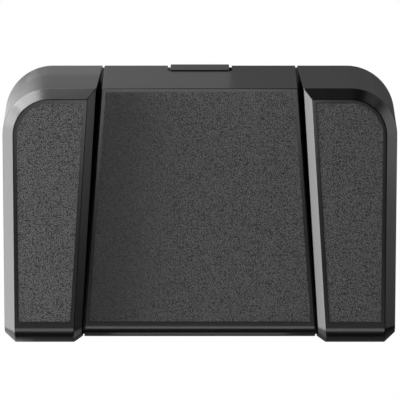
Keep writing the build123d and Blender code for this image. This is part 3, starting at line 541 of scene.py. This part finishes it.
def add_turned(mesh, origin, along, profile):
    """Faces between rings of (radius, distance) along an axis. Gives the first and last ring."""
    side = along.orthogonal().normalized()
    other = along.cross(side)
    turns = [2 * math.pi * step / TURN_STEPS for step in range(TURN_STEPS)]
    rings = []
    for radius, distance in profile:
        ring = []
        for turn in turns:
            outward = side * math.cos(turn) + other * math.sin(turn)
            ring.append(mesh.verts.new(origin + along * distance + outward * radius))
        rings.append(ring)
    for near, far in zip(rings, rings[1:]):
        for step in range(TURN_STEPS):
            after = (step + 1) % TURN_STEPS
            mesh.faces.new((near[step], near[after], far[after], far[step]))
    return rings[0], rings[-1]


def plus_ring(mesh, origin, along, arm, half_width):
    """The twelve corners of a plus."""
    side = along.orthogonal().normalized()
    other = along.cross(side)
    a, b = arm, half_width
    right = [(b, -b), (a, -b), (a, b), (b, b)]
    upper_left = [(b, a), (-b, a), (-b, b), (-a, b)]
    lower_left = [(-a, -b), (-b, -b), (-b, -a), (b, -a)]
    corners = right + upper_left + lower_left
    return [mesh.verts.new(origin + side * x + other * y) for x, y in corners]


def ring_edges(mesh, ring):
    """The edges of a closed ring of corners, made where they are missing."""
    edges = []
    for near, far in zip(ring, ring[1:] + ring[:1]):
        edges.append(mesh.edges.get((near, far)) or mesh.edges.new((near, far)))
    return edges


def add_screw(mesh, face_centre, inward, profile_mm, recess_mm):
    """A turned screw whose head face, at the start of the profile, carries a cross recess."""
    profile = [(radius * MM, distance * MM) for radius, distance in profile_mm]
    rim, tip = add_turned(mesh, face_centre, inward, profile)
    mesh.faces.new(tip)
    head_radius = profile[0][0]
    arm = RECESS_ARM_SHARE * head_radius
    half_width = RECESS_HALF_WIDTH_SHARE * head_radius
    mouth = plus_ring(mesh, face_centre, inward, arm, half_width)
    bottom = face_centre + inward * (recess_mm * MM)
    floor_arm = TAPERED_ARM_SHARE * arm
    floor = plus_ring(mesh, bottom, inward, floor_arm, TAPERED_WIDTH_SHARE * half_width)
    edges = ring_edges(mesh, rim) + ring_edges(mesh, mouth)
    bmesh.ops.triangle_fill(mesh, use_beauty=True, edges=edges)
    for step in range(len(mouth)):
        after = (step + 1) % len(mouth)
        mesh.faces.new((mouth[step], mouth[after], floor[after], floor[step]))
    mesh.faces.new(floor)


print("helpers for screws ready")

# %% Countersunk and pan-head screws
COUNTERSUNK_MM = ((2.9, 0.0), (2.9, 0.12), (1.5, 1.3), (1.5, 8.4), (0.9, 9.0))
COUNTERSUNK_RECESS_MM = 0.9
PAN_HEAD_MM = (
    (1.15, 0.0),
    (1.6, 0.12),
    (1.84, 0.45),
    (1.9, 0.8),
    (1.9, 1.3),
    (1.0, 1.3),
    (1.0, 4.3),
    (0.6, 4.7),
)
PAN_HEAD_RECESS_MM = 0.8

for node, name, head_below, profile_mm, recess_mm in (
    ("base_screws", "countersunk_screws", True, COUNTERSUNK_MM, COUNTERSUNK_RECESS_MM),
    ("port_screws", "port_screws_pan_head", False, PAN_HEAD_MM, PAN_HEAD_RECESS_MM),
    ("board_screws", "board_screws_pan_head", False, PAN_HEAD_MM, PAN_HEAD_RECESS_MM),
):
    screws = bmesh.new()
    parts = loose_parts(node)
    for low, high in parts:
        head_z = low[2] if head_below else high[2]
        inward = Vector((0, 0, 1 if head_below else -1))
        centre = Vector(((low[0] + high[0]) / 2, (low[1] + high[1]) / 2, head_z))
        add_screw(screws, centre, inward, profile_mm, recess_mm)
    bmesh.ops.recalc_face_normals(screws, faces=screws.faces[:])
    finish_piece(screws, name, "base", [node], [black_zinc])
    print(name, len(parts))

# %% [markdown]
# ## Wound springs
# A compression spring is one wire on a helix. Its end turns lie closed against each other and are
# ground flat, and only the turns between them are open. The tube's rings stand square to the
# helix, which keeps the wire round.

# %% Compression springs
SPRING_RADIUS_MM = 4.95
WIRE_RADIUS_MM = 0.55
SPRING_TURNS = 6
RINGS_PER_TURN = 36
WIRE_SIDES = 10


def spring_rise(turn, low, high):
    """Height of the wire's middle after so many turns: slow in the closed end turns."""
    closed = 2 * WIRE_RADIUS_MM * MM
    if turn < 1:
        return low + closed * turn
    if turn > SPRING_TURNS - 1:
        return high - closed * (SPRING_TURNS - turn)
    share = (turn - 1) / (SPRING_TURNS - 2)
    return low + closed + share * (high - low - 2 * closed)


def add_spring(mesh, x, y, z_low, z_high):
    """A wound wire between two heights, with closed ends."""
    low = z_low + WIRE_RADIUS_MM * MM
    high = z_high - WIRE_RADIUS_MM * MM
    radius = SPRING_RADIUS_MM * MM
    middles = []
    for step in range(SPRING_TURNS * RINGS_PER_TURN + 1):
        turn = step / RINGS_PER_TURN
        angle = 2 * math.pi * turn
        along, across = math.cos(angle), math.sin(angle)
        place = Vector((x + radius * along, y + radius * across, spring_rise(turn, low, high)))
        middles.append((place, Vector((along, across, 0))))
    rings = []
    for index, (middle, outward) in enumerate(middles):
        before = middles[max(index - 1, 0)][0]
        after = middles[min(index + 1, len(middles) - 1)][0]
        up = (after - before).normalized().cross(outward).normalized()
        ring = []
        for side in range(WIRE_SIDES):
            angle = 2 * math.pi * side / WIRE_SIDES
            offset = outward * math.cos(angle) + up * math.sin(angle)
            vert = mesh.verts.new(middle + offset * WIRE_RADIUS_MM * MM)
            vert.co.z = min(max(vert.co.z, z_low), z_high)
            ring.append(vert)
        rings.append(ring)
    for near, far in zip(rings, rings[1:]):
        for side in range(WIRE_SIDES):
            after = (side + 1) % WIRE_SIDES
            mesh.faces.new((near[side], near[after], far[after], far[side]))
    mesh.faces.new(rings[0])
    mesh.faces.new(rings[-1])


for side in SIDES:
    node = "centre_springs" if side == "centre" else f"{side}_spring"
    springs = bmesh.new()
    parts = loose_parts(node)
    for low, high in parts:
        add_spring(springs, (low[0] + high[0]) / 2, (low[1] + high[1]) / 2, low[2], high[2])
    bmesh.ops.recalc_face_normals(springs, faces=springs.faces[:])
    low, high = parts[0]
    piece = finish_piece(springs, f"{node}_wound", "base", [node], [music_wire])
    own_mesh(piece)

# %% [markdown]
# ## Light and floor
# A plain studio. Most soft boxes, and the white cards that lie on the floor, show only as
# reflections in the satin faces: the left box in the bright chamfers, the near and rear ones in the
# rounded corners and the rear edge, the cards in the skirts that lean out over the floor. In a
# stack of cards each is wider and dimmer than the last, so the light fades out at its sides. The
# matte light comes from the right box and from a long low lamp at the left rear. The raised left
# pedal keeps that lamp off the near side of the centre tread. The floor looks white to the camera,
# is dim in reflections, keeps a faint shadow of the switch, and is open from below, where one more
# lamp lights the plate.

# %% Helpers for lamps
CARD_HEIGHT = 0.002


def soft_box(name, place, aim, size, radiance):
    """An area light that faces a point, with its power worked out from how bright it looks."""
    light = bpy.data.lights.new(name, "AREA")
    light.shape = "RECTANGLE"
    light.size, light.size_y = size
    light.energy = radiance * math.pi * size[0] * size[1]
    lamp = bpy.data.objects.new(name, light)
    lamp.location = Vector(place)
    lamp.rotation_euler = (Vector(aim) - Vector(place)).to_track_quat("-Z", "Y").to_euler()
    lamp.visible_camera = False
    bpy.context.scene.collection.objects.link(lamp)
    return lamp


def floor_card(name, x, y, size, radiance):
    """A glowing card on the floor that faces up."""
    return soft_box(name, (x, y, CARD_HEIGHT), (x, y, 1), size, radiance)


def stacked_cards(name, x, y, size, step, count, radiance):
    """Cards at one place, each a step wider and dimmer than the last."""
    cards = []
    for level in range(count):
        level_size = (size[0] + level * step, size[1])
        cards.append(floor_card(f"{name}_{level}", x, y, level_size, radiance * (count - level)))
    return cards


print("helpers for lamps ready")

# %% Soft boxes and cards
# A box has a name, a place, a point that it faces, a size and a radiance. A card has its x and y
# instead of place and point. Lengths are in metres, radiance in W/(m2 sr).
MIRRORED_BOXES = (
    ("overhead_soft_box", (-0.02, -0.11, 0.5), (-0.02, -0.11, 0), (0.22, 0.12), 2.9),
    ("front_soft_box", (0.0, -1.41, 1.555), (0, 0, 0), (1.1, 0.66), 2.6),
    ("left_soft_box", (-1.3, -0.15, 0.4), (0, -0.15, 0.4), (2.1, 0.72), 8.2),
    ("right_near_box", (0.42, 0.11, 0.17), (0, 0.11, 0.17), (0.37, 0.14), 0.9),
    ("rear_right_soft_box", (0.3, 0.27, 0.2), (0.1, 0.07, 0.05), (0.12, 0.16), 0.7),
    ("left_near_box", (-0.42, 0.13, 0.2), (-0.1, 0.06, 0.05), (0.22, 0.16), 3.0),
    ("rear_left_soft_box", (-0.455, 0.43, 0.26), (-0.12, 0.06, 0.06), (0.38, 0.46), 9.0),
    ("rear_soft_box", (-0.31, 0.42, 0.23), (-0.15, 0.05, 0.05), (0.56, 0.42), 2.1),
    ("rear_low_strip", (-0.3, 0.6, 0.07), (-0.1, 0.05, 0.05), (0.5, 0.12), 6.0),
)
MIRRORED_CARDS = (
    ("rear_left_card", -0.2, 0.19, (0.28, 0.21), 0.2),
    ("rear_card", -0.16, 0.19, (0.358, 0.21), 0.165),
    ("rear_wide_card", 0.0, 0.19, (0.6, 0.21), 0.04),
    ("front_floor_card", 0.0, -0.15, (0.11, 0.09), 0.7),
)

soft_box("right_soft_box", (1.4, 0.08, 0.42), (0, 0, 0.1), (1.2, 0.7), 1.2)
mirrored = [soft_box(*row) for row in MIRRORED_BOXES]
mirrored += stacked_cards("left_card", -0.3, 0.05, (0.308, 0.42), step=0.012, count=8, radiance=0.2)
mirrored += [floor_card(*row) for row in MIRRORED_CARDS]
for lamp in mirrored:
    lamp.visible_diffuse = False

skimming = soft_box("left_skimming_lamp", (-1.3, 0.35, 0.11), (0, 0.35, 0.11), (1.4, 0.16), 470.0)
underside = soft_box("underside_lamp", (0.0, 0.0, -0.9), (0, 0, 0), (1.8, 1.8), 1.3)
for lamp in (skimming, underside):
    lamp.visible_glossy = False
print("soft boxes", len(bpy.data.lights))

# %% Helpers for the surround and the floor
WHITE = (1, 1, 1, 1)


def calculate(tree, operation, *values):
    """What a math node makes of its values."""
    feeds = dict(enumerate(values))
    return add_node(tree, "ShaderNodeMath", {"operation": operation}, feeds).outputs[0]


def mixed(tree, share, first, second):
    """Two shaders mixed: all first at a share of 0, all second at 1."""
    feeds = {"Fac": share, 1: first, 2: second}
    return add_node(tree, "ShaderNodeMixShader", feeds=feeds).outputs[0]


print("helpers for the surround and the floor ready")

# %% Surround
SURROUND_GREY = "#B4B4B4"
SURROUND_STRENGTH = 0.06
world = bpy.data.worlds.new("studio_surround")
bpy.context.scene.world = world
world.use_nodes = True
tree = world.node_tree
dim = tree.nodes["Background"]
dim.inputs["Color"].default_value = linear(SURROUND_GREY)
dim.inputs["Strength"].default_value = SURROUND_STRENGTH
by_camera = add_node(tree, "ShaderNodeLightPath").outputs["Is Camera Ray"]
white = add_node(tree, "ShaderNodeBackground", feeds={"Color": WHITE, "Strength": 1.0})
surround = mixed(tree, by_camera, dim.outputs[0], white.outputs[0])
tree.links.new(surround, tree.nodes["World Output"].inputs["Surface"])
print("surround", SURROUND_GREY, "at", SURROUND_STRENGTH)

# %% Floor
FLOOR_HALF = 4.0
CAMERA_GLOW_SHARE = 0.998
MIRROR_GLOW_SHARE = 0.1
floor_paper, tree, shader = new_finish("pale_paper_floor", "#505050", roughness=0.9)
rays = add_node(tree, "ShaderNodeLightPath").outputs
mirror_ray = calculate(tree, "MAXIMUM", rays["Is Glossy Ray"], rays["Is Transmission Ray"])
mirror_glow = calculate(tree, "MULTIPLY", mirror_ray, MIRROR_GLOW_SHARE)
glow_share = calculate(tree, "MULTIPLY_ADD", rays["Is Camera Ray"], CAMERA_GLOW_SHARE, mirror_glow)
glow = add_node(tree, "ShaderNodeEmission", feeds={"Color": WHITE, "Strength": 1.0})
paper = mixed(tree, glow_share, shader.outputs[0], glow.outputs[0])
from_below = add_node(tree, "ShaderNodeNewGeometry").outputs["Backfacing"]
open_share = calculate(tree, "MAXIMUM", from_below, rays["Is Shadow Ray"])
clear = add_node(tree, "ShaderNodeBsdfTransparent")
one_sided = mixed(tree, open_share, paper, clear.outputs[0])
tree.links.new(one_sided, tree.nodes["Material Output"].inputs["Surface"])

floor_mesh = bmesh.new()
corners = [(x * FLOOR_HALF, y * FLOOR_HALF, 0) for x, y in ((-1, -1), (1, -1), (1, 1), (-1, 1))]
floor_mesh.faces.new([floor_mesh.verts.new(corner) for corner in corners])
floor_data = bpy.data.meshes.new("floor")
floor_mesh.to_mesh(floor_data)
floor_mesh.free()
floor_data.materials.append(floor_paper)
floor = bpy.data.objects.new("floor", floor_data)
bpy.context.scene.collection.objects.link(floor)
print("floor", FLOOR_HALF * 2, "m")
